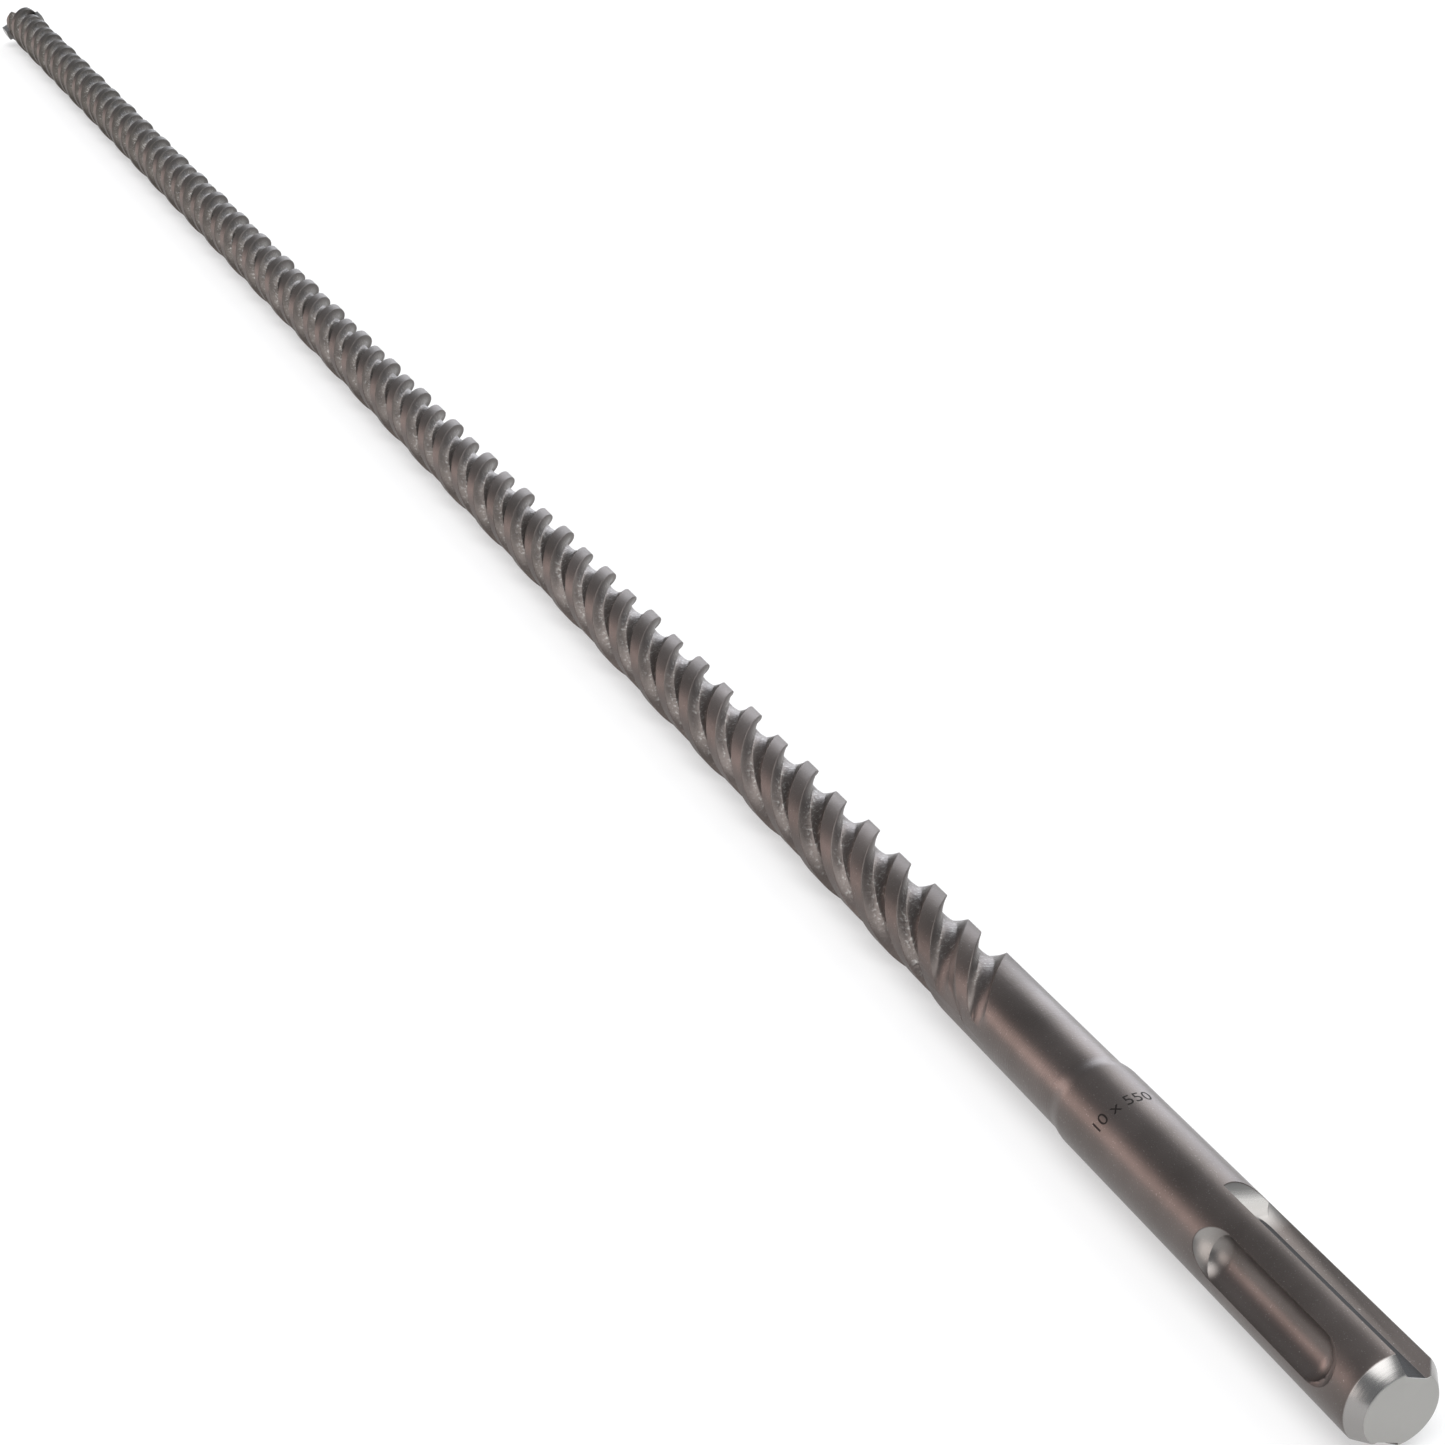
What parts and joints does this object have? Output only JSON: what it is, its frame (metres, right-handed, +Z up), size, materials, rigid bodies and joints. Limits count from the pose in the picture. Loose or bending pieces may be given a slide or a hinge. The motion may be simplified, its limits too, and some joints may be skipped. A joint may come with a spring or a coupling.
{
  "type": "hammer drill bit",
  "caption": "Long masonry drill bit with a slotted round shank, tall and low spiral lands and a brazed carbide plate across its tip.",
  "frame": {"origin": "on the bit's axis, in the middle of the shank's 48.9 mm round length, where a chuck holds it", "axes": "+X along the bit's axis towards the tip, +Z up, the open slot that the picture shows on top"},
  "size_m": [0.615, 0.0104, 0.01],
  "materials": {
    "tempered_steel": "shot-blasted and tempered, dark brown grey, satin",
    "carbide": "sintered carbide with ground edges, satin grey"
  },
  "bodies": {
    "root": {"drill_body": "tempered_steel", "carbide_tip": "carbide"}
  },
  "joints": []
}
